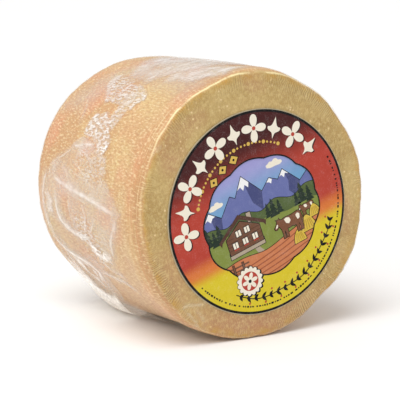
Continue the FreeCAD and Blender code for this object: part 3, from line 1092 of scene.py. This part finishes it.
def layChalet(name, centre, size, layer):
    def placed(*outlines):
        return [moved(outline, centre, 0, size) for outline in outlines]

    lowPanes = [(-6.6, -4.4), (-1.3, -4.4), (4.0, -4.4)]
    panes = lowPanes + [(-3.6, 0.2), (1.0, 0.2)]
    roof = [(-12, -1.0), (-11.2, 0.6), (0, 7.4), (0, 9.6), (-12.8, 1.4)]
    outlined(name + "Base", placed(boxOutline(-9.3, -8.4, 18.6, 2.8), boxOutline(4, 4, 2.2, 4.4)), layer,
             "stone")
    outlined(name + "Wall", placed([(-9, -6.5), (9, -6.5), (9, 1), (0, 6.4), (-9, 1)]), layer + 1.2, "timber")
    planks = [boxOutline(-9, v, 18, 0.25) for v in (-4.6, -2.9, -1.2, 0.5)]
    layPrint(name + "Planks", placed(*planks), layer + 3.2, "roof")
    outlined(name + "Roof", placed(roof[::-1], [(-u, v) for u, v in roof]), layer + 3.6, "roof", 0.25)
    outlined(name + "Panes", placed(*(boxOutline(u, v, 2.6, 2.7) for u, v in panes)), layer + 4.2, "cream",
             0.3)
    bars = [boxOutline(u + 1.15, v, 0.3, 2.7) for u, v in panes]
    layPrint(name + "Bars", placed(*bars), layer + 6.2, "black")
    bloom = roundOutline(0.42, count=10)
    blooms = [moved(bloom, (u + 0.4 + k * 0.9, v - 0.5)) for u, v in lowPanes for k in range(3)]
    layPrint(name + "Blooms", placed(*blooms), layer + 6.6, "red")


cowOutline = [(0.3, 5.6), (0.2, 6.4), (1.0, 7.0), (1.9, 8.3), (2.2, 9.1), (1.6, 9.9), (2.6, 9.5),
              (3.1, 9.3), (3.6, 10.1), (3.8, 9.1), (4.8, 8.8), (6.5, 9.1), (10, 8.9), (13.5, 9.3),
              (14.6, 9.0), (15.3, 7.9), (15.6, 4.5), (15.2, 2.6), (15.0, 4.8), (14.8, 6.6), (14.6, 4.6),
              (14.9, 2.5), (14.7, 0), (13.6, 0), (13.5, 2.4), (12.9, 3.9), (12.7, 2.2), (12.4, 0),
              (11.4, 0), (11.5, 2.4), (11.2, 3.9), (10.5, 3.2), (9.7, 3.9), (7.6, 3.7), (6.6, 3.9),
              (6.5, 2.2), (6.3, 0), (5.2, 0), (5.3, 2.4), (4.9, 3.9), (4.7, 2.2), (4.5, 0), (3.5, 0),
              (3.7, 2.6), (3.5, 4.6), (3.0, 5.6), (2.6, 6.4), (1.9, 5.7), (1.1, 5.3)][::-1]
cowPatches = [[(6.0, 8.4), (7.2, 8.8), (8.8, 8.2), (9.2, 6.6), (8.0, 5.6), (6.6, 6.4)][::-1],
              [(12.2, 7.8), (13.4, 8.4), (14.4, 7.6), (14.0, 5.8), (12.8, 5.4)][::-1],
              [(0.7, 6.0), (1.1, 6.8), (2.0, 7.8), (2.3, 7.2), (1.8, 6.2)][::-1]]


def layForeground():
    soil = smoothLine([(36, -13.5), (26, -12.4), (12, -14.8), (-2, -17.2), (-16, -15.6), (-36, -18)], 6)
    bottom = [polar(40, angle) for angle in range(206, 336, 6)]
    outlined("printField", [bottom + kept(soil[abs(soil[:, 0]) < 34])], 9.8, "field", 0.3)
    rows = []
    for k in range(7):
        line = smoothLine([(34, -16.2 - 2.1 * k), (20, -15.6 - 2.4 * k), (6, -18.2 - 2.2 * k),
                           (-8, -20.0 - 2.0 * k),
                           (-30, -21.6 - 1.9 * k)], 5)
        rows.append(strip(line[::-1], 0.45))
    layPrint("printFurrows", rows, 11.8, "furrow")
    for k, (centre, size) in enumerate((((21.5, -18.5), 1.0), ((15.6, -21.5), 0.8), ((26.5, -13.5), 0.75))):
        cock = [(-4, 0), (4, 0), (3.6, 2.6), (2.2, 5.4), (0, 7.2), (-2.2, 5.4), (-3.6, 2.6)]
        cock = smoothLine(cock[1:] + cock[:1], 4)
        outlined("printHay" + "ABC"[k], [moved(cock, centre, 0, size)], 12.4 - k * 0.1, "hay")
        straws = [strip([(u, 0.6), (u * 0.55, 5.2)], 0.3) for u in (-2.6, -1.2, 0.3, 1.7, 2.8)]
        layPrint("printStraw" + "ABC"[k], [moved(straw, centre, 0, size) for straw in straws], 14.4,
                 "hayShade")
    layChalet("printChalet", (-10.5, -5.6), 0.98, 9.9)
    for k, (centre, size) in enumerate((((4.6, -16.6), 0.98), ((18.6, -11.4), 0.55))):
        outlined("printCow" + "AB"[k], [moved(cowOutline, centre, 0, size)], 14.0 - k * 3, "cow", 0.28)
        patches = [moved(patch, centre, 0, size) for patch in cowPatches]
        layPrint("printCowPatch" + "AB"[k], patches, 16.0 - k * 3, "cream")
    rails = [strip([(-27, h), (-20, h - 0.8), (-12, h - 1.0)], 0.7) for h in (-17.2, -19.0)]
    posts = [boxOutline(u, v - 3.2, 0.9, 4.6) for u, v in ((-25.5, -17.2), (-20.4, -17.8), (-15.6, -18.2))]
    layPrint("printRails", rails, 16.4, "timber")
    outlined("printPosts", posts, 16.6, "timber", 0.2)


def layBand():
    line, outer, inner = (labelForm[key] for key in ("frameLine", "ringOuter", "ringInner"))
    layPrint("printBand", [roundOutline(inner + 0.4, count=120), frameOutline], 18, "band")
    layPrint("printFrameLine", [grown(frameOutline, line * 0.6), grown(frameOutline, -line * 0.4)], 19,
             "black")
    layPrint("printRing", [roundOutline(radius, count=120) for radius in (outer, inner)], 19.5, "black")


def layOrnaments():
    radius, first, last, count = 37.0, 171, 27, 10
    figures, shadows, hearts = [], [], []
    for k in range(count):
        angle = first + (last - first) * k / (count - 1)
        centre = polar(radius, angle)
        if k % 2 == 0:
            figure = lobedOutline((4.0, 4.0), (0, 0), 4, 1.35, 0, 96)
            hearts.append(roundOutline(0.9, centre, 20))
        else:
            half = [(0, -4.2), (0.7, -2.0), (2.5, -0.9), (2.9, 0.3), (1.7, 0.6), (0.9, 1.6), (0, 4.4)]
            right = smoothLine(half, 4)
            figure = list(right) + [(-u, v) for u, v in right[::-1][1:-1]]
        figure = moved(figure, (0, 0), angle - 90, 1.0 if k % 2 == 0 else 1.12)
        figures.append(moved(figure, centre))
        shadows.append(moved(figure, (centre[0] + 0.5, centre[1] - 0.5)))
    layPrint("printFigureShade", shadows, 19, "shade")
    layPrint("printFigures", figures, 19.8, "cream")
    layPrint("printHearts", hearts, 20.6, "red")
    beads = [roundOutline(0.85 if k % 4 == 0 else 0.5, polar(30.9, 152 - 3.55 * k), 16) for k in range(29)]
    layPrint("printBeads", beads, 19.2, "gold")
    lozenge = [(0, -2.1), (2.4, 0), (0, 2.1), (-2.4, 0)]
    places = [(polar(27.4, angle), angle - 90) for angle in (127, 113, 99)]
    outlined("printLozenges", [moved(lozenge, centre, turn) for centre, turn in places], 20, "gold", 0.35)
    layPrint("printLozengeDots", [roundOutline(0.55, centre, 16) for centre, turn in places], 22, "black")


def layGarland():
    stem = [polar(37.6 + 0.5 * math.sin(math.radians(angle * 9)), angle) for angle in range(232, 332, 2)]
    layPrint("printStem", [strip(stem, 0.45)], 19.2, "black")
    leaves, berries = [], []
    for k, angle in enumerate(np.linspace(235, 329, 17)):
        for side in (-1, 1):
            lean = angle + 90 + side * 48
            leaf = leafOutline(3.5 if k % 2 else 2.9, 1.35)
            leaves.append(moved(leaf, polar(37.6 + side * 0.45, angle), lean))
        berries.append(roundOutline(0.5, polar(37.6 + (2.6 if k % 2 else -2.6), angle + 2.6), 14))
    layPrint("printLeavesOut", leaves[::2], 19.4, "black")
    layPrint("printLeavesIn", leaves[1::2], 19.6, "black")
    layPrint("printBerries", berries, 19.8, "red")
    ticks = []
    spot = random.Random(4)
    angle = 206.0
    while angle < 372:
        long = spot.uniform(0.7, 1.9)
        arc = [polar(41.5, angle + t * long) for t in (0, 0.5, 1)]
        ticks.append(strip(arc, spot.uniform(0.55, 0.95)))
        angle += long + spot.choice((0.55, 0.65, 0.8, 1.9))
    layPrint("printTicks", ticks, 19.2, "black")


def laySeal():
    centre = (-14.5, -26.5)
    layPrint("printSealShade", [lobedOutline((6.4, 6.4), (centre[0] + 0.5, centre[1] - 0.5), 16, 0.16)], 20,
             "black")
    outlined("printSeal", [lobedOutline((6.2, 6.2), centre, 16, 0.16)], 20.6, "cream", 0.25)
    layPrint("printSealRed", [roundOutline(4.3, centre)], 22.6, "red")
    layPrint("printSealFlower", [lobedOutline((2.9, 2.9), centre, 6, 0.9)], 23.2, "cream")
    layPrint("printSealHeart", [roundOutline(0.8, centre, 24)], 23.8, "black")


layLandscape()
layForeground()
layBand()
layOrnaments()
layGarland()
laySeal()
print("label printed")


# floor, light and camera

studio = dict(floorSize=24.0, floorColour=srgb(250, 249, 248), worldStrength=0.62, sunStrength=1.6,
              sunSoft=40,
              sunWay=(0.35, 0.2, -0.91), key=(-0.95, -0.35, 0.75), keySize=0.5, keyPower=2.5)


def makeStudio():
    clearSelection()
    bpy.ops.mesh.primitive_plane_add(size=studio["floorSize"], location=(0, 0, 0))
    floor = bpy.context.object
    floor.name = "studioFloor"
    dress(floor, newMaterial("paleFloor", **{"Roughness": 0.9, "Base Color": studio["floorColour"]})[0])
    world = bpy.data.worlds.new("softStudio")
    bpy.context.scene.world = world
    world.use_nodes = True
    sky = world.node_tree.nodes["Background"]
    feed(world.node_tree, sky, {"Color": (1, 1, 1, 1), "Strength": studio["worldStrength"]})
    bpy.ops.object.light_add(type="SUN", location=(-0.4, -0.3, 1.2))
    sun = bpy.context.object
    sun.name = "softSun"
    sun.data.energy = studio["sunStrength"]
    sun.data.angle = math.radians(studio["sunSoft"])
    sun.rotation_euler = Vector(studio["sunWay"]).to_track_quat("-Z", "Y").to_euler()
    bpy.ops.object.light_add(type="AREA", location=studio["key"])
    key = bpy.context.object
    key.name = "keyLight"
    key.data.shape = "DISK"
    key.data.size = studio["keySize"]
    key.data.energy = studio["keyPower"]
    aim = Vector((0, 0, wheelHigh.z / 2))
    key.rotation_euler = (aim - key.location).to_track_quat("-Z", "Y").to_euler()


makeStudio()

view = dict(place=(-346.3 * mm, -593.95 * mm, 178.2 * mm), way=(0.497, 0.849, -0.178), lens=137.0)
bpy.ops.object.camera_add(location=view["place"])
camera = bpy.context.object
camera.data.lens = view["lens"]
camera.data.sensor_width = 36
camera.data.clip_start = 0.01
camera.rotation_euler = Vector(view["way"]).to_track_quat("-Z", "Y").to_euler()
bpy.context.scene.camera = camera
bpy.context.scene.view_settings.view_transform = "Standard"

clearSelection()
print("scene ready")
